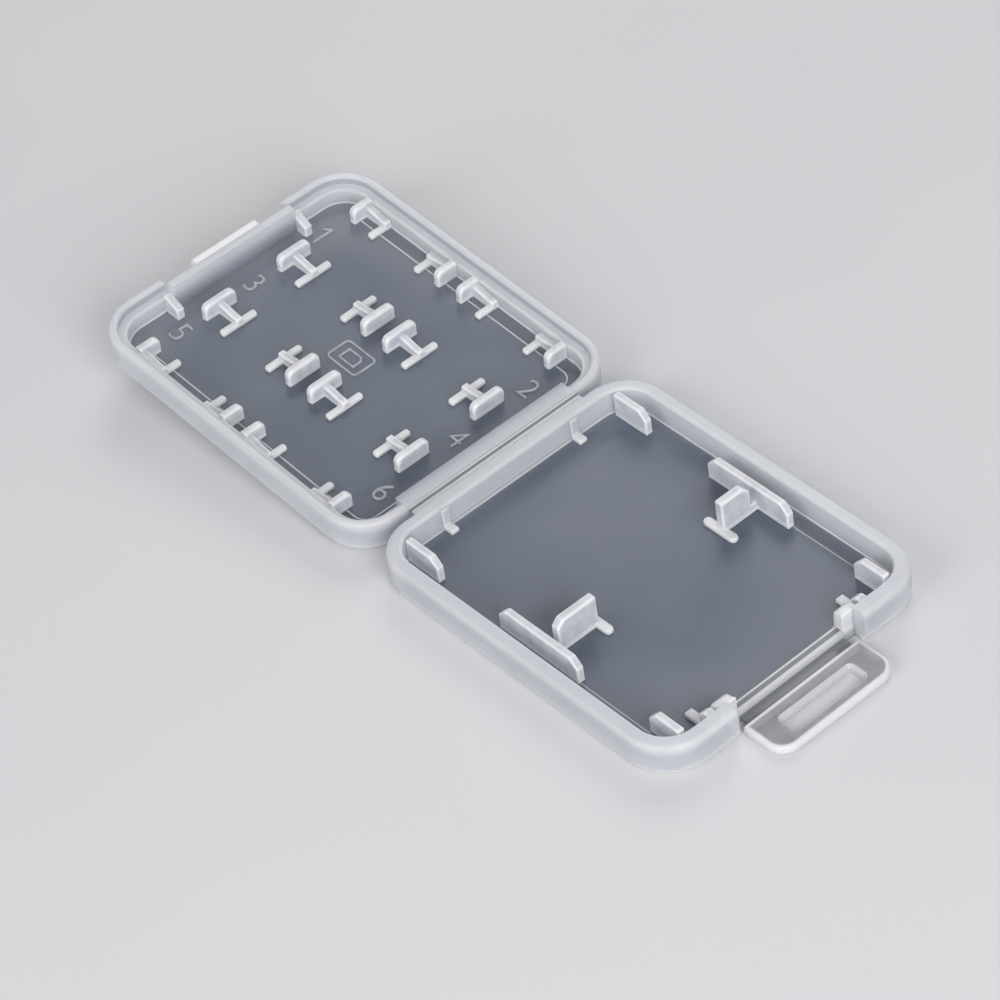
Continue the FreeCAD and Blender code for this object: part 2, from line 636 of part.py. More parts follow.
os.makedirs("parts", exist_ok=True)
for part in parts:
    part.Shape.exportStep(f"parts/{part.Label}.step")
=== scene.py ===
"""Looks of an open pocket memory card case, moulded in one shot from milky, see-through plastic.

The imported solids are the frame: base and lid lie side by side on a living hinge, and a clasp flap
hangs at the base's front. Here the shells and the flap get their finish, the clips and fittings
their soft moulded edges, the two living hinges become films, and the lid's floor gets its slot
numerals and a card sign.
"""

import json
import math

import bpy
import numpy
from bpy.props import FloatProperty, FloatVectorProperty, IntProperty, PointerProperty
from mathutils import Matrix, Vector


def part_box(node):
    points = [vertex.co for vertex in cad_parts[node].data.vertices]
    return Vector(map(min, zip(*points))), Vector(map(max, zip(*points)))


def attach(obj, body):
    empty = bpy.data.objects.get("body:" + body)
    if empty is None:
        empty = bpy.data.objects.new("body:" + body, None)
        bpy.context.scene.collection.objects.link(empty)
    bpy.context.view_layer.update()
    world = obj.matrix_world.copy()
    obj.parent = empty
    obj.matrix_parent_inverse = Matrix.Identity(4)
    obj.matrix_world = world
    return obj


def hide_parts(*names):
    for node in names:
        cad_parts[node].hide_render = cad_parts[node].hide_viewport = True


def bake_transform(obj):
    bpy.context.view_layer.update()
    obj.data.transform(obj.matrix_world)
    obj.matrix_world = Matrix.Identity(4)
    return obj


bl_info = {
    "name": "Memory card case",
    "version": (1, 0, 0),
    "blender": (4, 5, 0),
    "location": "View3D > Sidebar > Card Case",
    "description": "Finishes, soft edges, hinge films, numerals and stage of a milky card case",
    "category": "Object",
}

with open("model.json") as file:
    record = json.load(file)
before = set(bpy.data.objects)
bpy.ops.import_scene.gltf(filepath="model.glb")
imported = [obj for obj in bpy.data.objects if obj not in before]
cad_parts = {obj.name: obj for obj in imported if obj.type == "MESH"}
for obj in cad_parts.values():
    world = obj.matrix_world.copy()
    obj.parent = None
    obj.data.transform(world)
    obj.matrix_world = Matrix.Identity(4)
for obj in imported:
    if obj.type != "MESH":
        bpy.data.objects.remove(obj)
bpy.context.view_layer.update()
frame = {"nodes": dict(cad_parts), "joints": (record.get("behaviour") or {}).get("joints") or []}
NODES = frame["nodes"]
JOINTS = {joint["name"]: joint for joint in frame["joints"]}

MM = 0.001
FOLD = Vector(JOINTS["lid_fold"]["pos_m"])
LID_TILT = math.radians(-JOINTS["lid_fold"]["range_deg"][0])
LID_TURN = Matrix.Rotation(LID_TILT, 3, "Y")

CLIPS = sorted(name for name in NODES if name.startswith("lid_clip"))
BASE_FITTINGS = sorted(name for name in NODES if name.startswith(
    ("hinge_guide", "front_guide", "hinge_rib", "front_rib", "base_post", "divider")))
LID_FITTINGS = sorted(name for name in NODES if name.startswith("lid_post")) + ["catch_lug"]


def length(name, description, millimetres):
    """A size that can be set, given in millimetres."""
    return FloatProperty(name=name, description=description, default=millimetres * MM,
                         unit="LENGTH", precision=5)


def number(name, description, value):
    """A plain number that can be set."""
    return FloatProperty(name=name, description=description, default=value)


def colour(name, description, red, green, blue):
    """An opaque colour that can be set."""
    return FloatVectorProperty(name=name, description=description, subtype="COLOR", size=4,
                               default=(red, green, blue, 1), min=0, max=1)


class CardCaseSizes(bpy.types.PropertyGroup):
    """Sizes of the solids that the finishes go by, and of what is added to the solids."""
    edge_grain: length("Edge grain", "Spacing of the points that soften a moulded edge", 0.1)
    edge_rounds: IntProperty(name="Edge rounds", description="How often a moulded edge is smoothed",
                             default=14, min=1, max=60)
    seat_depth: length("Seat depth", "Foot of a fitting that keeps its shape", 0.16)
    floor_thickness: length("Floor", "Floor of base and lid", 1.25)
    base_wall: length("Base wall", "Wall of the base", 2.0)
    lid_wall: length("Lid wall", "Wall of the lid under its ledge", 2.2)
    lid_lip: length("Lid lip", "Thin outer lip of the lid above its ledge", 1.1)
    lid_step: length("Lid step", "Ledge of the lid under its rim", 1.4)
    catch_depth: length("Catch depth", "Inside of the lid's catch wall, past its other walls", 1.6)
    notch_half: length("Notch half", "Clasp notch of the lid, from the middle line", 10.0)
    sill_depth: length("Sill depth", "Sill in the base's notch, along X", 1.85)
    sill_back: length("Sill back", "Outer face of the sill behind the front", 1.9)
    sill_half: length("Sill half", "Sill between the notch's posts, from the middle line", 8.65)
    corner_radius: length("Corner", "Upright corners of base and lid", 6.1)
    label_inset: length("Label inset", "Label recess from the outline", 4.2)
    flap_corner: length("Flap corner", "Outer corners of the clasp flap", 2.5)
    slot_width: length("Slot width", "Slot of the clasp flap, along X", 2.5)
    slot_play: length("Slot play", "Slot past each end of the lug", 0.45)
    slot_inset: length("Slot inset", "Slot from the flap's free edge", 1.7)
    slot_corner: length("Slot corner", "Corners of the slot", 0.4)
    numeral_height: length("Numeral height", "Slot numerals on the lid's floor", 3.3)
    relief: length("Relief", "How far numerals and card sign stand out of the floor", 0.16)
    sign_width: length("Sign width", "Frame round the card sign, along X", 5.6)
    sign_depth: length("Sign depth", "Frame round the card sign, along Y", 3.9)
    sign_corner: length("Sign corner", "Corners of the frame round the card sign", 0.7)
    sign_line: length("Sign line", "Width of the card sign's lines", 0.26)
    card_width: length("Card width", "Card of the card sign, along X", 2.9)
    card_depth: length("Card depth", "Card of the card sign, along Y", 2.0)
    card_notch: length("Card notch", "Cut corner of the card of the card sign", 0.6)
    groove_width: length("Groove width", "Fold line along the main hinge film", 0.40)
    groove_depth: length("Groove depth", "Fold line under the main hinge film's upper face", 0.09)


class CardCaseFinish(bpy.types.PropertyGroup):
    """Colours of the milky plastic, of its painted highlights and shade, and of the stage."""
    floor_deep: colour("Floor, deep", "Darker cloud of the floors", 0.100, 0.128, 0.185)
    floor_haze: colour("Floor, haze", "Lighter cloud of the floors", 0.132, 0.161, 0.222)
    label_strip: colour("Label strip", "Floor outside the label recess", 0.05, 0.06, 0.08)
    wall_milk: colour("Wall", "Walls and rims", 0.74, 0.755, 0.81)
    # Painted shade: the inner walls' foot and the middle of the outer faces
    wall_painted_shade: colour("Wall, low", "Inner walls' foot, outer walls' middle", 0.60, 0.615, 0.67)
    lip_shade: colour("Lip", "Inner face of the lid's thin lip", 0.24, 0.26, 0.28)
    # A darker tone along the lid's rim by the hinge
    hinge_rim_dark: colour("Hinge rim", "Rim of the lid along the hinge", 0.42, 0.44, 0.52)
    sill_grey: colour("Sill", "Clear step of the sill", 0.25, 0.26, 0.285)
    # Painted highlight: edges, lines and feet where the plastic seems to gather light
    edge_highlight: colour("Edges", "Edges where the plastic gathers light", 0.95, 0.955, 0.965)
    # Painted cream highlight: the rims' outer crown and the walls' outer foot
    cream_highlight: colour("Outer edges", "Outer edges of base and lid", 0.90, 0.895, 0.87)
    flap_deep: colour("Flap, deep", "Darker cloud of the clasp flap", 0.33, 0.335, 0.37)
    flap_haze: colour("Flap, haze", "Lighter cloud of the clasp flap", 0.40, 0.405, 0.44)
    # Painted highlight: borders of the clasp flap and the bevel of its slot
    flap_edge_highlight: colour("Flap edges", "Borders of the clasp flap and its slot", 0.76, 0.76, 0.78)
    fitting_milk: colour("Fittings", "Faces of clips, guides and dividers", 0.75, 0.76, 0.81)
    fitting_shade: colour("Fittings, low", "Clouds in clips, guides and dividers", 0.61, 0.62, 0.68)
    film_grey: colour("Clasp film", "Clear film of the clasp's hinge", 0.21, 0.22, 0.24)
    film_haze: colour("Clasp film, haze", "Streaks of the clasp's film", 0.25, 0.26, 0.28)
    band_shade: colour("Hinge band, low", "Streaks of the main hinge film", 0.62, 0.635, 0.69)
    # Painted shade in the groove of the main hinge film
    fold_painted_shade: colour("Fold line", "Groove of the main hinge film", 0.22, 0.23, 0.26)
    relief_grey: colour("Numerals", "Raised numerals and card sign", 0.66, 0.68, 0.74)
    relief_shade: colour("Numerals, low", "Clouds in numerals and card sign", 0.48, 0.50, 0.56)
    stage_white: colour("Stage", "Floor that the case lies on", 0.66, 0.665, 0.68)
    stage_pale: colour("Stage, pale", "Clouds in that floor", 0.68, 0.685, 0.695)
    studio_white: colour("Studio", "Even light all round", 0.93, 0.94, 0.96)


def tone(name):
    """A colour of the finish."""
    return tuple(getattr(bpy.context.scene.card_case_finish, name))


# Noise values between which a cloud goes from one tone to the other
CLOUD = (0.3, 0.7)
# Surface of the moulded plastic
SATIN = 0.34
SATIN_DRIFT = (-0.05, 0.07)
DRIFT_SCALE = 0.05
GRAIN_SCALE = 9.0
GRAIN_STRENGTH = 0.05
GRAIN_HEIGHT = 0.04 * MM
PLASTIC_IOR = 1.49
GLOW_REACH = 2.0 * MM


class Nodes:
    """A material's node tree, put together node by node."""

    def __init__(self, name):
        self.material = bpy.data.materials.new(name)
        self.material.use_nodes = True
        self.tree = self.material.node_tree
        self.shader = self.tree.nodes["Principled BSDF"]

    def add(self, kind, sockets, **settings):
        """A new node; a socket gets a value, or a link from another node's output."""
        node = self.tree.nodes.new(kind)
        for name, value in settings.items():
            setattr(node, name, value)
        for name, value in sockets.items():
            self.feed(node.inputs[name], value)
        return node

    def feed(self, socket, value):
        """Links an output into a socket, or sets the socket's value."""
        if isinstance(value, bpy.types.NodeSocket):
            self.tree.links.new(value, socket)
        else:
            socket.default_value = value

    def math(self, operation, first, second=0.0):
        return self.add("ShaderNodeMath", {0: first, 1: second}, operation=operation).outputs[0]

    def all_of(self, first, *others):
        """The product of several shares."""
        for other in others:
            first = self.math("MULTIPLY", first, other)
        return first

    def any_of(self, first, *others):
        """The largest of several shares."""
        for other in others:
            first = self.math("MAXIMUM", first, other)
        return first

    def none_of(self, share):
        """What a share leaves."""
        return self.math("SUBTRACT", 1.0, share)

    def vector(self, operation, first, second=(0, 0, 0), output=0):
        node = self.add("ShaderNodeVectorMath", {0: first, 1: second}, operation=operation)
        return node.outputs[output]

    def span(self, value, low, high, at_low=0.0, at_high=1.0):
        """A soft step between two values."""
        sockets = {"Value": value, "From Min": low, "From Max": high,
                   "To Min": at_low, "To Max": at_high}
        return self.add("ShaderNodeMapRange", sockets, interpolation_type="SMOOTHSTEP").outputs[0]

    def below(self, value, low, high):
        """1 below a soft step, 0 above it."""
        return self.span(value, low, high, 1, 0)

    def line(self, value, place, half_width, softness):
        """1 where the value is at a place, 0 away from it."""
        apart = self.math("ABSOLUTE", self.math("SUBTRACT", value, place))
        return self.below(apart, half_width, half_width + softness)

    def mix(self, share, first, second):
        sockets = {0: share, 6: first, 7: second}
        return self.add("ShaderNodeMix", sockets, data_type="RGBA").outputs[2]

    def place(self, turn, shift):
        """Object coordinates in millimetres, turned and shifted into a piece's own frame."""
        coordinates = self.add("ShaderNodeTexCoord", {}).outputs["Object"]
        sockets = {"Vector": coordinates, "Location": shift, "Rotation": (0, turn, 0),
                   "Scale": (1 / MM, 1 / MM, 1 / MM)}
        return self.add("ShaderNodeMapping", sockets).outputs[0]

    def noise(self, where, scale, detail):
        sockets = {"Vector": where, "Scale": scale, "Detail": detail}
        return self.add("ShaderNodeTexNoise", sockets).outputs["Fac"]

    def cloud(self, where, scale, detail):
        """Soft clouds between 0 and 1."""
        return self.span(self.noise(where, scale, detail), *CLOUD)

    def outline_distance(self, where, middle, half_size, radius):
        """Distance from a rounded rectangle's outline, below zero inside it."""
        apart = self.vector("ABSOLUTE", self.vector("SUBTRACT", where, middle))
        past = self.vector("SUBTRACT", apart, (half_size[0] - radius, half_size[1] - radius, 0))
        flat = self.vector("MULTIPLY", past, (1, 1, 0))
        outside = self.vector("LENGTH", self.vector("MAXIMUM", flat), output=1)
        sides = self.add("ShaderNodeSeparateXYZ", {0: flat}).outputs
        inside = self.math("MINIMUM", self.math("MAXIMUM", sides[0], sides[1]), 0.0)
        return self.math("SUBTRACT", self.math("ADD", outside, inside), radius)

    def moulded(self, where, base_colour, alpha, roughness=SATIN, glow=0.0):
        """Feeds the shader: colour, drifting gloss, mould grain, see-through share, inner glow."""
        drift = self.noise(where, DRIFT_SCALE, 0)
        low, high = (roughness + change for change in SATIN_DRIFT)
        bump = self.add("ShaderNodeBump", {"Height": self.noise(where, GRAIN_SCALE, 2),
                                           "Strength": GRAIN_STRENGTH, "Distance": GRAIN_HEIGHT})
        self.feed(self.shader.inputs["Base Color"], base_colour)
        self.feed(self.shader.inputs["Roughness"], self.span(drift, *CLOUD, low, high))
        self.feed(self.shader.inputs["Normal"], bump.outputs[0])
        self.feed(self.shader.inputs["Alpha"], alpha)
        self.shader.inputs["IOR"].default_value = PLASTIC_IOR
        self.shader.inputs["Subsurface Weight"].default_value = glow
        self.shader.inputs["Subsurface Radius"].default_value = (1, 1, 1)
        self.shader.inputs["Subsurface Scale"].default_value = GLOW_REACH
        return self.material


def dressed(piece, material):
    """Gives a piece one material all over."""
    piece.data.materials.clear()
    piece.data.materials.append(material)


def only(piece):
    """Selects one object and nothing else."""
    bpy.ops.object.select_all(action="DESELECT")
    piece.select_set(True)
    bpy.context.view_layer.objects.active = piece


def apply_all(piece):
    """Applies every modifier of a piece in order."""
    only(piece)
    for modifier in list(piece.modifiers):
        bpy.ops.object.modifier_apply(modifier=modifier.name)


def settle(piece):
    """Puts a piece's place into its mesh."""
    only(piece)
    bpy.ops.object.transform_apply(location=True, rotation=True, scale=True)


def on_lid(x, y, z):
    """A point of the lid's own frame, in millimetres from the fold axis, in the shared frame."""
    return FOLD + LID_TURN @ (Vector((x, y, z)) * MM)


def in_lid(point):
    """A point of the shared frame in the lid's own frame, from the fold axis."""
    return LID_TURN.transposed() @ (point - FOLD)


def lid_floor_level():
    """The lid's floor under the fold axis, in millimetres."""
    low = min(in_lid(vertex.co).z for vertex in NODES["lid_shell"].data.vertices)
    return (low + bpy.context.scene.card_case_sizes.floor_thickness) / MM


def lid_frame():
    """Turn and shift from Object coordinates to the lid's own, with its underside at level 0."""
    shift = LID_TURN.transposed() @ FOLD / -MM
    return -LID_TILT, (shift.x, shift.y, shift.z + FOLD.z / MM)


# Where the shells' tones go over into each other, in millimetres. A pair is the start and the end
# of a soft step, or a line's half width and softness. A step counts from what its use names:
# underside, floor, rim, a wall's face, the outline or the middle line.
# Floor and label recess
ON_FLOOR = (-0.5, -0.3)
LABEL_START = (2, 4)
BASE_LABEL_START = (-0.3, 0)
BASE_LABEL_ASIDE = (13, 14)
LABEL_LINE = (0.06, 0.07)
LABEL_EDGE = 0.03
# Walls
INNER_FACE = (0.25, 0.3)
INNER_SHADE_END = 0.6
OUTER_EDGE = (-0.6, -0.2)
OUTER_FACE_RISE = (0.8, 1.8)
OUTER_FACE_FALL = (-1.7, -0.8)
FOOT_LEVEL = (0.4, 1.3)
FOOT_EDGE = (-1.4, -0.2)
CROWN_LEVEL = (-0.8, -0.15)
CROWN_EDGE = (-0.7, -0.2)
RIM_LEVEL = (-0.5, -0.2)
RIM_LINE = (0.3, 0.2)
# Lip, hinge rim and ledge of the lid; the rim's fall goes from the wall's inner to its outer face
LIP_LINE = (0.12, 0.1)
LIP_RISE = (0.05, 0.25)
LIP_FALL = (-0.5, -0.3)
HINGE_RIM_RISE = (-0.4, -0.2)
HINGE_RIM_FALL = (-0.3, -0.4)
HINGE_RIM_END = (-7, -6)
LEDGE_LINE = (0.15, 0.15)
# From floor to wall
CAVITY = (-0.12, 0.05)
FLOOR_TOP = 0.15
FLOOR_FADE = 0.55
CATCH_FADE = 2.8
CATCH_EDGE = 0.4
NOTCH_SIDE = 0.1
UNDERSIDE = (0.05, 0.4)
UNDERSIDE_EDGE = (-2.6, -1.2)
# Sill of the base
SILL_EDGE = 0.02
SILL_LEVEL = (0.02, 0.1)
SILL_SIDE = 0.05
SILL_LINES = (0.16, 0.6)
SILL_LINE = (0.1, 0.06)
SILL_BAND = (-0.55, -0.4)
# Painted highlight lines at the walls' foot
FOOT_LINE = (0.1, 0.1)
FOOT_LINE_LEVEL = (0.12, 0.16)
HINGE_LINE_ALONG = (0.4, 0.8)
HINGE_LINE_ASIDE = (10.5, 12)
HINGE_LINE_LEVEL = 0.7
HINGE_LINE = (0.06, 0.08)

# Shares of a tone where it shows fully
LID_LABEL_SHARE = 0.8
BASE_LABEL_SHARE = 0.5
STRIP_SHARE = 0.3
OUTER_FACE_SHARE = 0.6
CROWN_SHARE = 0.45
LIP_SHARE = 0.55
RIM_SHARE = 0.6
FOOT_LINE_SHARE = 0.9
HINGE_LINE_SHARE = 0.6

# Scale of a floor's clouds
FLOOR_CLOUD = 0.06
# How much the plastic covers what is behind it: a floor's underside and its upper face, and a wall
# and its outer foot
FLOOR_COVER = (0.28, 0.66)
WALL_COVER = (0.62, 0.85)
SHELL_GLOW = 0.7


class ShellFinish(Nodes):
    """The finish of base or lid, in millimetres of the shell's own frame.

    along counts from the fold axis, aside from the middle line and level from the underside; edge
    is the distance from the outline, below zero inside it.
    """

    def __init__(self, name, lid):
        super().__init__(name)
        sizes = bpy.context.scene.card_case_sizes
        low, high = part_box("base_tray")
        self.lid = lid
        self.sizes = sizes
        self.half = ((high.x - low.x) / 2 / MM, (high.y - low.y) / 2 / MM)
        self.height = high.z / MM
        self.nearest = (low.x - FOLD.x) / MM
        self.wall = (sizes.lid_wall if lid else sizes.base_wall) / MM
        self.floor = sizes.floor_thickness / MM
        if lid:
            turn, shift = lid_frame()
            middle = (-self.nearest - self.half[0], 0, 0)
        else:
            turn, shift = 0, (-FOLD.x / MM, 0, 0)
            middle = (self.nearest + self.half[0], 0, 0)
        self.where = self.place(turn, shift)
        self.along, across, self.level = self.add("ShaderNodeSeparateXYZ", {0: self.where}).outputs
        self.aside = self.math("ABSOLUTE", across)
        self.edge = self.outline_distance(self.where, middle, self.half, sizes.corner_radius / MM)
        self.on_top = self.over(self.level, self.floor, ON_FLOOR)
        self.outer_foot = self.all_of(self.below(self.level, *FOOT_LEVEL),
                                      self.span(self.edge, *FOOT_EDGE))
        # Inner face of the lid's catch wall
        self.catch_face = -self.nearest - 2 * self.half[0] + self.wall + sizes.catch_depth / MM

    def over(self, value, start, step):
        """0 before a soft step that counts from a start, 1 past it."""
        return self.span(value, start + step[0], start + step[1])

    def under(self, value, start, step):
        """1 before a soft step that counts from a start, 0 past it."""
        return self.below(value, start + step[0], start + step[1])

    def ground(self):
        """The hazy floor; the underside's label recess shows through as a painted highlight line.
        """
        inset = self.sizes.label_inset / MM
        if self.lid:
            marked = self.over(self.along, self.catch_face, LABEL_START)
            share = LID_LABEL_SHARE
        else:
            bar_end = (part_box("divider_near")[1].x - FOLD.x) / MM
            marked = self.all_of(self.over(self.along, bar_end, BASE_LABEL_START),
                                 self.span(self.aside, *BASE_LABEL_ASIDE))
            share = BASE_LABEL_SHARE
        marked = self.all_of(self.on_top, marked)
        clouds = self.cloud(self.where, FLOOR_CLOUD, 1)
        plain = self.mix(clouds, tone("floor_deep"), tone("floor_haze"))
        outside = self.span(self.edge, -inset - LABEL_EDGE, -inset + LABEL_EDGE, 0, STRIP_SHARE)
        strip = self.mix(self.all_of(outside, marked), plain, tone("label_strip"))
        # Painted highlight line where the label recess's edge shows through
        label = self.all_of(self.line(self.edge, -inset, *LABEL_LINE), marked, share)
        return self.mix(label, strip, tone("edge_highlight"))

    def walls(self):
        """The milky walls: painted shade low inside and mid outer face, painted highlights on edges
        and rim.
        """
        # Painted shade at the inner walls' foot, fading up the wall
        inner = self.line(self.edge, -self.wall, *INNER_FACE)
        rise = self.span(self.level, self.floor, self.height - INNER_SHADE_END)
        shaded = self.all_of(inner, self.none_of(rise))
        milk = self.mix(shaded, tone("wall_milk"), tone("wall_painted_shade"))
        # Painted shade across the middle of the outer face, between the painted highlights at its
        # edges
        outer_face = self.all_of(self.span(self.level, *OUTER_FACE_RISE),
                                 self.under(self.level, self.height, OUTER_FACE_FALL),
                                 self.span(self.edge, *OUTER_EDGE), OUTER_FACE_SHARE)
        milk = self.mix(outer_face, milk, tone("wall_painted_shade"))
        # Painted cream highlight at the walls' outer foot
        milk = self.mix(self.outer_foot, milk, tone("cream_highlight"))
        # Painted cream highlight along the rim's outer crown
        crown = self.all_of(self.over(self.level, self.height, CROWN_LEVEL),
                            self.span(self.edge, *CROWN_EDGE), CROWN_SHARE)
        milk = self.mix(crown, milk, tone("cream_highlight"))
        if self.lid:
            milk, inner_rim = self.lid_rim(milk)
        else:
            inner_rim = self.over(self.level, self.height, RIM_LEVEL)
        # Painted highlight line along the inner rim, and on the lid along its ledge
        inner_rim = self.all_of(inner_rim, self.line(self.edge, -self.wall, *RIM_LINE), RIM_SHARE)
        return self.mix(inner_rim, milk, tone("edge_highlight"))

    def lid_rim(self, milk):
        """The lid's thin lip, a darker tone on its hinge rim, strongest towards the floor, and its
        ledge's line.
        """
        ledge = self.height - self.sizes.lid_step / MM
        lip = self.all_of(self.line(self.edge, -self.sizes.lid_lip / MM, *LIP_LINE),
                          self.over(self.level, ledge, LIP_RISE),
                          self.under(self.level, self.height, LIP_FALL), LIP_SHARE)
        milk = self.mix(lip, milk, tone("lip_shade"))
        # A darker tone along the lid's rim by the hinge, strongest towards the floor
        inside = -self.nearest - self.wall
        hinge_rim = self.all_of(
            self.below(self.along, inside + HINGE_RIM_FALL[0], -self.nearest + HINGE_RIM_FALL[1]),
            self.over(self.along, inside, HINGE_RIM_RISE),
            self.under(self.aside, self.half[1], HINGE_RIM_END))
        milk = self.mix(hinge_rim, milk, tone("hinge_rim_dark"))
        return milk, self.line(self.level, ledge, *LEDGE_LINE)

    def bottom(self):
        """1 on the floor's two faces, 0 on the walls."""
        fade = self.floor + FLOOR_FADE
        if self.lid:
            # The catch wall takes the floor's tone and cover low down, and is milky only at its
            # top: painted shade, darker towards its foot
            in_notch = self.under(self.aside, self.sizes.notch_half / MM, (-NOTCH_SIDE, NOTCH_SIDE))
            by_catch = self.all_of(self.under(self.along, self.catch_face, (0, CATCH_EDGE)),
                                   in_notch)
            fade = self.math("ADD", self.all_of(by_catch, CATCH_FADE), fade)
        in_cavity = self.under(self.edge, -self.wall, CAVITY)
        upper = self.all_of(in_cavity, self.below(self.level, self.floor + FLOOR_TOP, fade))
        lower = self.all_of(self.below(self.level, *UNDERSIDE),
                            self.below(self.edge, *UNDERSIDE_EDGE))
        return self.any_of(upper, lower)

    def sill(self, milk, bottom):
        """The base's sill: a clear step between painted highlights at its edges, with two fine
        painted highlight lines inside.
        """
        back = self.nearest + 2 * self.half[0] - self.sizes.sill_back / MM
        front = back - self.sizes.sill_depth / MM
        between = self.under(self.aside, self.sizes.sill_half / MM, (-SILL_SIDE, SILL_SIDE))
        on_sill = self.all_of(self.over(self.along, front, (-SILL_EDGE, SILL_EDGE)), between,
                              self.over(self.level, self.floor, SILL_LEVEL))
        lines = [self.line(self.along, front + place, *SILL_LINE) for place in SILL_LINES]
        # Painted highlight lines on the sill's edges and inside it
        bright = self.any_of(*lines, self.over(self.along, back, SILL_BAND))
        step = self.mix(bright, tone("sill_grey"), tone("edge_highlight"))
        return self.mix(on_sill, milk, step), self.all_of(bottom, self.none_of(on_sill))

    def foot_line(self):
        """Painted highlight lines: one at the walls' foot, and a finer one between the base's hinge
        ribs.
        """
        foot = self.all_of(self.line(self.edge, -self.wall, *FOOT_LINE),
                           self.line(self.level, self.floor, *FOOT_LINE_LEVEL))
        if self.lid:
            return foot
        by_hinge = self.all_of(self.under(self.along, self.nearest + self.wall, HINGE_LINE_ALONG),
                               self.below(self.aside, *HINGE_LINE_ASIDE))
        second = self.line(self.level, self.floor + HINGE_LINE_LEVEL, *HINGE_LINE)
        return self.any_of(foot, self.all_of(second, by_hinge, HINGE_LINE_SHARE))

    def finished(self):
        """The material, put together from floor, walls, sill and lines."""
        milk, bottom = self.walls(), self.bottom()
        if not self.lid:
            milk, bottom = self.sill(milk, bottom)
        plastic = self.mix(bottom, milk, self.ground())
        # Painted highlight at the walls' foot
        foot = self.all_of(self.foot_line(), FOOT_LINE_SHARE)
        plastic = self.mix(foot, plastic, tone("edge_highlight"))
        haze = self.span(self.on_top, 0, 1, *FLOOR_COVER)
        walls = self.span(self.outer_foot, 0, 1, *WALL_COVER)
        cover = self.math("ADD", self.all_of(bottom, self.math("SUBTRACT", haze, walls)), walls)
        return self.moulded(self.where, plastic, cover, glow=SHELL_GLOW)


# Point values of a fitting: how much light it gathers there, painted as highlights
GATHERED = "gathered_light"
FITTING_CLOUD = 0.6
FITTING_COVER = (0.84, 0.97)
FITTING_GLOW = 0.5


def fitting_finish():
    """The finish of clips, guides, ribs, posts and dividers: milky, with painted highlights on
    edges and feet.
    """
    nodes = Nodes("fitting_milk")
    where = nodes.place(0, (0, 0, 0))
    clouds = nodes.cloud(where, FITTING_CLOUD, 3)
    face = nodes.mix(clouds, tone("fitting_shade"), tone("fitting_milk"))
    gathered = nodes.add("ShaderNodeAttribute", {}, attribute_name=GATHERED).outputs["Fac"]
    # Painted highlight where the fitting gathers light: its edges and foot
    face = nodes.mix(gathered, face, tone("edge_highlight"))
    return nodes.moulded(where, face, nodes.span(gathered, 0, 1, *FITTING_COVER), glow=FITTING_GLOW)


FLAP_CLOUD = 0.5
FLAP_HINGE_EDGE = (0.3, 0.55)
FLAP_BORDER = (-0.75, -0.3)
SLOT_BEVEL = (0.36, 0.46)
BEVEL_SHARE = 0.7
FLAP_COVER = (0.55, 0.9)
FLAP_SATIN = 0.33
FLAP_GLOW = 0.4


def flap_finish():
    """The finish of the clasp flap: a hazy plate with painted highlights round outline and slot."""
    sizes = bpy.context.scene.card_case_sizes
    low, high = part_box("clasp_flap")
    lug_low, lug_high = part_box("catch_lug")
    nodes = Nodes("flap_milk")
    where = nodes.place(0, (0, 0, 0))
    along = nodes.add("ShaderNodeSeparateXYZ", {0: where}).outputs[0]
    # The outline goes on past the hinge edge, so that only the two outer corners are round
    half = ((high.x - low.x) / MM, (high.y - low.y) / 2 / MM)
    edge = nodes.outline_distance(where, (low.x / MM, 0, 0), half, sizes.flap_corner / MM)
    plate = nodes.mix(nodes.cloud(where, FLAP_CLOUD, 3), tone("flap_deep"), tone("flap_haze"))
    hinge_edge = nodes.below(along, *(low.x / MM + step for step in FLAP_HINGE_EDGE))
    slot_half = (sizes.slot_width / 2 / MM, ((lug_high.y - lug_low.y) / 2 + sizes.slot_play) / MM)
    slot_middle = ((high.x - sizes.slot_inset) / MM - slot_half[0], 0, 0)
    from_slot = nodes.outline_distance(where, slot_middle, slot_half, sizes.slot_corner / MM)
    # Painted highlights: the slot's bevel, the outline's border and the hinge edge
    bevel = nodes.span(from_slot, *SLOT_BEVEL, BEVEL_SHARE, 0)
    bright = nodes.any_of(nodes.span(edge, *FLAP_BORDER), hinge_edge, bevel)
    plate = nodes.mix(bright, plate, tone("flap_edge_highlight"))
    return nodes.moulded(where, plate, nodes.span(bright, 0, 1, *FLAP_COVER), FLAP_SATIN, FLAP_GLOW)


# Streaks of the films run along the hinge
STREAK = (1.5, 0.12, 1.5)
# Half width and softness of the fold line's painted shade, in shares of the groove's half width
FOLD_LINE = (0.8, 0.9)
BAND_COVER = 0.85
BAND_SATIN = 0.3
CLASP_FILM_COVER = 0.7
CLASP_FILM_SATIN = 0.25


def film_finish(name, groove):
    """A hinge film's finish: milky with painted shade along the fold line where it is grooved, else
    nearly clear.
    """
    nodes = Nodes(name)
    where = nodes.place(0, (-FOLD.x / MM, 0, 0))
    streaks = nodes.cloud(nodes.vector("MULTIPLY", where, STREAK), 1.0, 3)
    if not groove:
        film = nodes.mix(streaks, tone("film_grey"), tone("film_haze"))
        return nodes.moulded(where, film, CLASP_FILM_COVER, CLASP_FILM_SATIN)
    along = nodes.add("ShaderNodeSeparateXYZ", {0: where}).outputs[0]
    half = bpy.context.scene.card_case_sizes.groove_width / 2 / MM
    # Painted shade along the groove
    fold_line = nodes.line(along, 0.0, *(half * share for share in FOLD_LINE))
    band = nodes.mix(streaks, tone("wall_milk"), tone("band_shade"))
    band = nodes.mix(fold_line, band, tone("fold_painted_shade"))
    return nodes.moulded(where, band, BAND_COVER, BAND_SATIN)


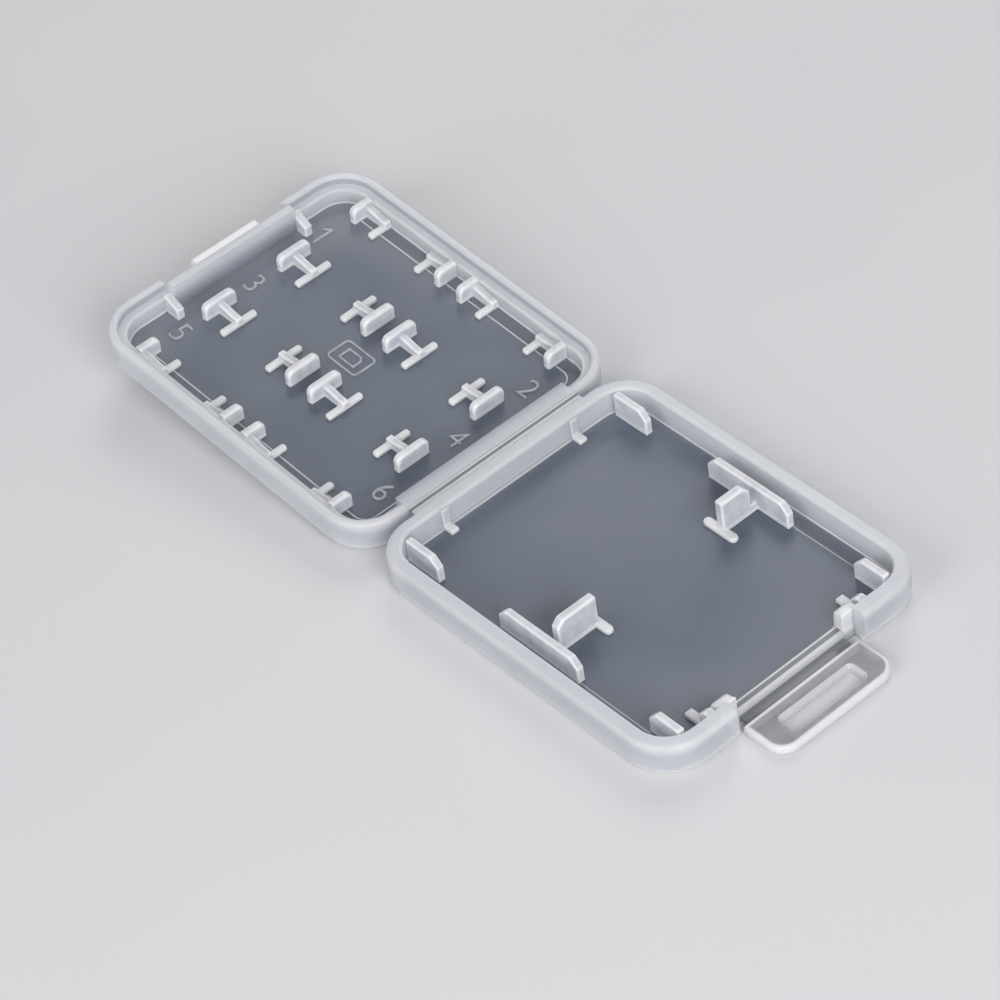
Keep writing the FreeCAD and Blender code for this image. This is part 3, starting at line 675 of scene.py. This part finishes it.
RELIEF_CLOUD = 1.6
RELIEF_WEAR = (0.35, 0.7)
RELIEF_COVER = 0.6


def relief_finish():
    """The finish of numerals and card sign: the floor's plastic, paler where it is raised."""
    nodes = Nodes("relief_milk")
    where = nodes.place(0, (0, 0, 0))
    wear = nodes.span(nodes.noise(where, RELIEF_CLOUD, 2), *RELIEF_WEAR)
    raised = nodes.mix(wear, tone("relief_shade"), tone("relief_grey"))
    return nodes.moulded(where, raised, RELIEF_COVER)


# Bulge between neighbouring points, in millimetres, that counts as an edge
EDGE_BULGE = 0.006
# How often that bulge is spread over neighbouring points
BULGE_ROUNDS = 3
# Share of the gathered light along edges away from the floor
UPPER_EDGE = 0.75
# How far up from the floor a fitting's foot shines, and the power of its fall-off
FOOT_GLOW = 0.9 * MM
FOOT_POWER = 0.6

# Fittings that differ: smoothing in shares of edge_rounds, and the least light that they gather
FITTING_KINDS = {"catch_lug": (0.5, 0.8), "lid_post": (0.5, 0.2), "base_post": (9, 0.35)}
PLAIN_FITTING = (1, 0)
WELD = 0.001 * MM
SMOOTHING = 0.5


def gather_light(piece, above_floor, least):
    """Keeps, point by point, how much light a fitting gathers: along its edges and at its foot."""
    mesh = piece.data
    points = numpy.empty(len(mesh.vertices) * 3)
    mesh.vertices.foreach_get("co", points)
    points = points.reshape(-1, 3)
    normals = numpy.empty(len(mesh.vertices) * 3)
    mesh.vertices.foreach_get("normal", normals)
    pairs = numpy.empty(len(mesh.edges) * 2, dtype=int)
    mesh.edges.foreach_get("vertices", pairs)
    first, second = pairs.reshape(-1, 2).T
    shared = numpy.bincount(numpy.concatenate((first, second)), minlength=len(points))

    def around(values):
        """The mean over each point's neighbours."""
        sums = (numpy.bincount(first, values[second], len(points))
                + numpy.bincount(second, values[first], len(points)))
        return sums / shared

    centres = numpy.stack([around(points[:, axis]) for axis in range(3)], axis=1)
    bulge = ((points - centres) * normals.reshape(-1, 3)).sum(axis=1) / MM
    for _ in range(BULGE_ROUNDS):
        bulge = around(bulge)
    edge = numpy.clip(bulge / EDGE_BULGE, 0, 1)
    heights = numpy.array([above_floor(Vector(point)) for point in points])
    foot = numpy.clip(1 - heights / FOOT_GLOW, 0, 1)
    light = numpy.maximum(numpy.maximum(edge * UPPER_EDGE, foot ** FOOT_POWER), least)
    mesh.attributes.new(GATHERED, "FLOAT", "POINT").data.foreach_set("value", light)


def softened(name, body, seats, above_floor):
    """A fitting with soft edges in a node's place; its seats on floor or wall keep their shape."""
    sizes = bpy.context.scene.card_case_sizes
    kinds = (kind for start, kind in FITTING_KINDS.items() if name.startswith(start))
    rounds, least = next(kinds, PLAIN_FITTING)
    piece = bpy.data.objects.new(f"{name}_soft", NODES[name].data.copy())
    bpy.context.scene.collection.objects.link(piece)
    only(piece)
    bpy.ops.object.mode_set(mode="EDIT")
    bpy.ops.mesh.select_all(action="SELECT")
    bpy.ops.mesh.remove_doubles(threshold=WELD)
    bpy.ops.object.mode_set(mode="OBJECT")
    grains = piece.modifiers.new("grains", "REMESH")
    grains.mode = "VOXEL"
    grains.voxel_size = sizes.edge_grain
    apply_all(piece)
    free = piece.vertex_groups.new(name="free")
    loose = [vertex.index for vertex in piece.data.vertices if not seats(vertex.co)]
    free.add(loose, 1.0, "REPLACE")
    smooth = piece.modifiers.new("rounds", "SMOOTH")
    smooth.factor = SMOOTHING
    smooth.iterations = int(sizes.edge_rounds * rounds)
    smooth.vertex_group = free.name
    apply_all(piece)
    piece.vertex_groups.clear()
    bpy.ops.object.shade_smooth()
    gather_light(piece, above_floor, least)
    dressed(piece, bpy.data.materials.get("fitting_milk") or fitting_finish())
    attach(piece, body)
    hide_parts(name)


class CARDCASE_OT_shells(bpy.types.Operator):
    """Gives base, lid and clasp flap their milky finishes"""
    bl_idname = "cardcase.shells"
    bl_label = "Shells and flap"

    def execute(self, context):
        dressed(NODES["base_tray"], ShellFinish("base_milk", lid=False).finished())
        dressed(NODES["lid_shell"], ShellFinish("lid_milk", lid=True).finished())
        dressed(NODES["clasp_flap"], flap_finish())
        return {"FINISHED"}


class CARDCASE_OT_clips(bpy.types.Operator):
    """Softens the edges of the lid's sixteen clips, its notch posts and its lug"""
    bl_idname = "cardcase.clips"
    bl_label = "Lid clips"

    def execute(self, context):
        sizes = context.scene.card_case_sizes
        seat = sizes.seat_depth
        floor = lid_floor_level() * MM
        side_face = max(abs(corner.y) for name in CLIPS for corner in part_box(name))
        free_face = FOLD.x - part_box("lid_shell")[0].x - sizes.lid_wall
        lug_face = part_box("catch_lug")[1].x

        def above_floor(point):
            return in_lid(point).z - floor

        def clip_seats(point):
            return above_floor(point) < seat or abs(point.y) > side_face - seat

        def post_seats(point):
            return above_floor(point) < seat or -in_lid(point).x > free_face - seat

        def lug_seats(point):
            return point.x > lug_face - 2 * seat

        for name in CLIPS:
            softened(name, "lid", clip_seats, above_floor)
        for name in LID_FITTINGS:
            softened(name, "lid", lug_seats if name == "catch_lug" else post_seats, above_floor)
        return {"FINISHED"}


class CARDCASE_OT_fittings(bpy.types.Operator):
    """Softens the edges of the base's guides, ribs, posts and dividers"""
    bl_idname = "cardcase.fittings"
    bl_label = "Base fittings"

    def execute(self, context):
        sizes = context.scene.card_case_sizes
        seat = sizes.seat_depth
        low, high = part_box("base_tray")
        hinge_face = low.x + sizes.base_wall
        front_face = high.x - sizes.base_wall

        def above_floor(point):
            return point.z - sizes.floor_thickness

        def seats(point):
            by_wall = point.x < hinge_face + seat or point.x > front_face - seat
            return above_floor(point) < seat or by_wall

        for name in BASE_FITTINGS:
            softened(name, "base", seats, above_floor)
        return {"FINISHED"}


# Rows of points across a film, which let it bend smoothly, and along it
HINGE_STEPS = 33
CLASP_STEPS = 25
LENGTH_STEPS = 6
# The main film's faces stay this much, in all, inside the solid's
FILM_SKIN = 0.02 * MM

SOFT_EDGE = 0.05 * MM
NUMERAL_EDGE = 0.04 * MM
EDGE_STEPS = 2
SHARP_EDGE = math.radians(50)
SMOOTH_FACES = math.radians(40)


def film_strip(name, low, high, steps):
    """A flat strip with enough cross lines to bend smoothly, its place in its mesh."""
    bpy.ops.object.select_all(action="DESELECT")
    bpy.ops.mesh.primitive_grid_add(x_subdivisions=steps, y_subdivisions=LENGTH_STEPS, size=1,
                                    location=((low.x + high.x) / 2, 0, (low.z + high.z) / 2))
    strip = bpy.context.active_object
    strip.name = name
    strip.scale = (high.x - low.x, high.y - low.y, 1)
    settle(strip)
    return strip


def thickened(sheet, thickness, edge):
    """Gives a flat sheet its thickness, half to each side, and soft edges."""
    solid = sheet.modifiers.new("thickness", "SOLIDIFY")
    solid.thickness = thickness
    solid.offset = 0
    rounding = sheet.modifiers.new("edges", "BEVEL")
    rounding.width = edge
    rounding.segments = EDGE_STEPS
    rounding.limit_method = "ANGLE"
    rounding.angle_limit = SHARP_EDGE
    apply_all(sheet)
    bpy.ops.object.shade_smooth_by_angle(angle=SMOOTH_FACES)


def choose(sheet, chosen):
    """Selects some points of a sheet, by their numbers, and starts to edit them."""
    bpy.ops.object.mode_set(mode="EDIT")
    bpy.ops.mesh.select_all(action="DESELECT")
    bpy.ops.object.mode_set(mode="OBJECT")
    for index in chosen:
        sheet.data.vertices[index].select = True
    bpy.ops.object.mode_set(mode="EDIT")


class CARDCASE_OT_hinge_film(bpy.types.Operator):
    """Makes the main living hinge: a milky band with a fold line, between base and lid"""
    bl_idname = "cardcase.hinge_film"
    bl_label = "Main hinge film"

    def execute(self, context):
        sizes = context.scene.card_case_sizes
        low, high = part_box("main_hinge_film")
        strip = film_strip("hinge_band", low, high, HINGE_STEPS)
        half = sizes.groove_width / 2
        points = strip.data.vertices
        choose(strip, [point.index for point in points if abs(point.co.x - FOLD.x) < half])
        bpy.ops.transform.translate(value=(0, 0, -sizes.groove_depth))
        bpy.ops.object.mode_set(mode="OBJECT")
        thickened(strip, high.z - low.z - FILM_SKIN, SOFT_EDGE)
        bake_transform(strip)
        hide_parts("main_hinge_film")
        dressed(strip, film_finish("hinge_film_milk", groove=True))
        return {"FINISHED"}


class CARDCASE_OT_clasp_film(bpy.types.Operator):
    """Makes the clasp's living hinge: a clear strip between base and flap"""
    bl_idname = "cardcase.clasp_film"
    bl_label = "Clasp hinge film"

    def execute(self, context):
        low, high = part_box("clasp_hinge_film")
        strip = film_strip("clasp_band", low, high, CLASP_STEPS)
        thickened(strip, high.z - low.z, SOFT_EDGE)
        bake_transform(strip)
        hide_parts("clasp_hinge_film")
        dressed(strip, film_finish("clasp_film_clear", groove=False))
        return {"FINISHED"}


# Slot numerals: what each says and its middle in the lid's own frame, in millimetres from the fold
# axis
NUMERALS = {"1": (-46.4, 11.7), "3": (-46.0, -0.2), "5": (-45.9, -12.4),
            "2": (-7.3, 11.8), "4": (-7.3, 0.0), "6": (-7.1, -12.2)}
# Outline of the numeral one with its flag, in heights of a numeral
ONE = ((0.06, -0.5), (0.06, 0.5), (-0.05, 0.5), (-0.27, 0.33), (-0.27, 0.21), (-0.06, 0.36),
       (-0.06, -0.5))
# A numeral's height in sizes of its text, and how much thinner than the text its strokes are
TEXT_HEIGHT = 0.73
STROKE_THINNING = 0.02
CURVE_STEPS = 8
NUMERAL_SMOOTH_FACES = math.radians(35)


def numeral_one(height, thickness):
    """The numeral one, raised from its outline."""
    mesh = bpy.data.meshes.new("numeral_one")
    mesh.from_pydata([(x * height, y * height, 0) for x, y in ONE], [], [range(len(ONE))])
    numeral = bpy.data.objects.new("numeral_one", mesh)
    bpy.context.scene.collection.objects.link(numeral)
    thickened(numeral, thickness, NUMERAL_EDGE)
    return numeral


def numeral_from_text(word, height, thickness):
    """A numeral raised from a text."""
    bpy.ops.object.select_all(action="DESELECT")
    bpy.ops.object.text_add(location=(0, 0, 0))
    numeral = bpy.context.active_object
    text = numeral.data
    text.body = word
    text.align_x = "CENTER"
    text.align_y = "CENTER"
    text.size = height / TEXT_HEIGHT
    text.offset = -STROKE_THINNING * text.size
    text.extrude = thickness / 2
    text.bevel_depth = NUMERAL_EDGE
    text.bevel_resolution = EDGE_STEPS
    text.resolution_u = CURVE_STEPS
    only(numeral)
    bpy.ops.object.convert(target="MESH")
    return numeral


def stand_on_lid(piece, x, y):
    """Sets a raised piece on the lid's floor, in the relief's finish."""
    piece.rotation_euler = (0, LID_TILT, 0)
    piece.location = on_lid(x, y, lid_floor_level())
    settle(piece)
    dressed(piece, bpy.data.materials.get("relief_milk") or relief_finish())
    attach(piece, "lid")


class CARDCASE_OT_numerals(bpy.types.Operator):
    """Raises the slot numerals 1 to 6 on the lid's floor"""
    bl_idname = "cardcase.numerals"
    bl_label = "Slot numerals"

    def execute(self, context):
        sizes = context.scene.card_case_sizes
        # Half of the thickness is sunk into the floor
        thickness = sizes.relief * 2
        for word, (x, y) in NUMERALS.items():
            if word == "1":
                numeral = numeral_one(sizes.numeral_height, thickness)
            else:
                numeral = numeral_from_text(word, sizes.numeral_height, thickness)
            numeral.name = f"slot_numeral_{word}"
            stand_on_lid(numeral, x, y)
            bpy.ops.object.shade_smooth_by_angle(angle=NUMERAL_SMOOTH_FACES)
        return {"FINISHED"}


# Middle of the card sign in the lid's own frame, millimetres from the fold axis
SIGN_PLACE = (-27.1, 0)
# The card's line in shares of the frame's line
CARD_LINE = 0.9
CORNER_STEPS = 5


def raised_outline(name, width, depth, line, corner=0.0, notch=0.0):
    """A raised line round a plate with four round corners, or round a card with one cut corner."""
    bpy.ops.object.select_all(action="DESELECT")
    bpy.ops.mesh.primitive_plane_add(size=1, location=(0, 0, 0))
    outline = bpy.context.active_object
    outline.name = name
    outline.scale = (width, depth, 1)
    settle(outline)
    corners = outline.data.vertices
    if notch:
        choose(outline, [point.index for point in corners if point.co.x > 0 and point.co.y > 0])
        bpy.ops.mesh.bevel(offset=notch, segments=1, affect="VERTICES")
    else:
        choose(outline, range(len(corners)))
        bpy.ops.mesh.bevel(offset=corner, segments=CORNER_STEPS, affect="VERTICES")
    bpy.ops.mesh.select_all(action="SELECT")
    bpy.ops.mesh.inset(thickness=line)
    bpy.ops.mesh.delete(type="FACE")
    bpy.ops.object.mode_set(mode="OBJECT")
    thickened(outline, bpy.context.scene.card_case_sizes.relief * 2, SOFT_EDGE)
    return outline


class CARDCASE_OT_card_sign(bpy.types.Operator):
    """Raises a plain sign on the lid's floor: a rounded frame round a card with a cut corner"""
    bl_idname = "cardcase.card_sign"
    bl_label = "Card sign"

    def execute(self, context):
        sizes = context.scene.card_case_sizes
        border = raised_outline("sign_border", sizes.sign_width, sizes.sign_depth, sizes.sign_line,
                                corner=sizes.sign_corner)
        card = raised_outline("sign_card", sizes.card_width, sizes.card_depth,
                              sizes.sign_line * CARD_LINE, notch=sizes.card_notch)
        for outline in (border, card):
            stand_on_lid(outline, *SIGN_PLACE)
        return {"FINISHED"}


# Soft lamps that point at the case: where they stand, in metres, and their power in watts
LAMPS = {"key_lamp": ((0.62, -0.18, 0.38), 3.9),
         "fill_lamp": ((0.02, -0.64, 0.34), 2.0),
         "back_lamp": ((-0.35, 0.45, 0.45), 1.7)}
LAMP_SIZE = 0.40
STUDIO_STRENGTH = 0.30
STAGE_SIZE = 6
STAGE_STEPS = 8
STAGE_DROP = 0.02 * MM
STAGE_CLOUD = 0.01
STAGE_ROUGHNESS = 0.7
SENSOR_WIDTH = 36.0
CLIP_START = 0.01


def soft_lamp(name, place, power):
    """A square studio lamp that points at the case."""
    bpy.ops.object.select_all(action="DESELECT")
    bpy.ops.object.light_add(type="AREA", location=place)
    lamp = bpy.context.active_object
    lamp.name = name
    lamp.data.shape = "SQUARE"
    lamp.data.size = LAMP_SIZE
    lamp.data.energy = power
    lamp.rotation_euler = (-Vector(place)).to_track_quat("-Z", "Y").to_euler()


def stage_floor():
    """The plain pale floor that the case lies on."""
    bpy.ops.object.select_all(action="DESELECT")
    bpy.ops.mesh.primitive_grid_add(x_subdivisions=STAGE_STEPS, y_subdivisions=STAGE_STEPS,
                                    size=STAGE_SIZE, location=(0, 0, -STAGE_DROP))
    floor = bpy.context.active_object
    floor.name = "stage_floor"
    nodes = Nodes("stage_white")
    clouds = nodes.cloud(nodes.place(0, (0, 0, 0)), STAGE_CLOUD, 2)
    pale = nodes.mix(clouds, tone("stage_white"), tone("stage_pale"))
    nodes.feed(nodes.shader.inputs["Base Color"], pale)
    nodes.shader.inputs["Roughness"].default_value = STAGE_ROUGHNESS
    dressed(floor, nodes.material)


class CARDCASE_OT_stage(bpy.types.Operator):
    """Sets the pale floor, the soft lamps, the even world and the camera"""
    bl_idname = "cardcase.stage"
    bl_label = "Stage"

    azimuth: number("Azimuth", "Camera, degrees round the object", 54.555)
    elevation: number("Elevation", "Camera, degrees above the floor", 43.234)
    roll: number("Roll", "Camera, degrees about its line of sight", -9.194)
    distance: length("Distance", "Camera to origin", 494.53)
    focal: number("Focal length", "In widths of the picture", 4.09505)
    shift_x: number("Shift across", "In widths of the picture", -0.015764)
    shift_y: number("Shift up", "In widths of the picture", -0.009184)

    def execute(self, context):
        stage_floor()
        world = bpy.data.worlds.new("studio")
        world.use_nodes = True
        background = world.node_tree.nodes["Background"]
        background.inputs["Color"].default_value = tone("studio_white")
        background.inputs["Strength"].default_value = STUDIO_STRENGTH
        context.scene.world = world
        for name, (place, power) in LAMPS.items():
            soft_lamp(name, place, power)
        self.add_camera(context)
        context.scene.view_settings.view_transform = "Standard"
        return {"FINISHED"}

    def add_camera(self, context):
        """Sets the camera at the photograph's angle."""
        angles = (self.azimuth, self.elevation, self.roll)
        turn, rise, tip = (math.radians(angle) for angle in angles)
        level = math.cos(rise)
        back = Vector((math.sin(turn) * level, -math.cos(turn) * level, math.sin(rise)))
        right = Vector((math.cos(turn), math.sin(turn), 0))
        up = back.cross(right)
        rolled_right = right * math.cos(tip) + up * math.sin(tip)
        rolled_up = up * math.cos(tip) - right * math.sin(tip)
        bpy.ops.object.camera_add(location=back * self.distance)
        camera = context.active_object
        camera.name = "photo_camera"
        camera.rotation_euler = Matrix((rolled_right, rolled_up, back)).transposed().to_euler()
        camera.data.sensor_width = SENSOR_WIDTH
        camera.data.lens = SENSOR_WIDTH * self.focal
        camera.data.shift_x = self.shift_x
        camera.data.shift_y = self.shift_y
        camera.data.clip_start = CLIP_START
        context.scene.camera = camera


class CARDCASE_PT_panel(bpy.types.Panel):
    """Lists the pieces of the card case"""
    bl_idname = "CARDCASE_PT_panel"
    bl_label = "Memory card case"
    bl_space_type = "VIEW_3D"
    bl_region_type = "UI"
    bl_category = "Card Case"

    def draw(self, context):
        for operator in OPERATORS:
            self.layout.operator(operator.bl_idname)


OPERATORS = (CARDCASE_OT_shells, CARDCASE_OT_clips, CARDCASE_OT_fittings, CARDCASE_OT_hinge_film,
             CARDCASE_OT_clasp_film, CARDCASE_OT_numerals, CARDCASE_OT_card_sign, CARDCASE_OT_stage)
CLASSES = (CardCaseSizes, CardCaseFinish) + OPERATORS + (CARDCASE_PT_panel,)


def register():
    for cls in CLASSES:
        bpy.utils.register_class(cls)
    bpy.types.Scene.card_case_sizes = PointerProperty(type=CardCaseSizes)
    bpy.types.Scene.card_case_finish = PointerProperty(type=CardCaseFinish)


def unregister():
    del bpy.types.Scene.card_case_finish
    del bpy.types.Scene.card_case_sizes
    for cls in reversed(CLASSES):
        bpy.utils.unregister_class(cls)


def main():
    register()
    bpy.ops.cardcase.shells()
    bpy.ops.cardcase.clips()
    bpy.ops.cardcase.fittings()
    bpy.ops.cardcase.hinge_film()
    bpy.ops.cardcase.clasp_film()
    bpy.ops.cardcase.numerals()
    bpy.ops.cardcase.card_sign()
    bpy.ops.cardcase.stage()


if __name__ == "__main__":
    main()
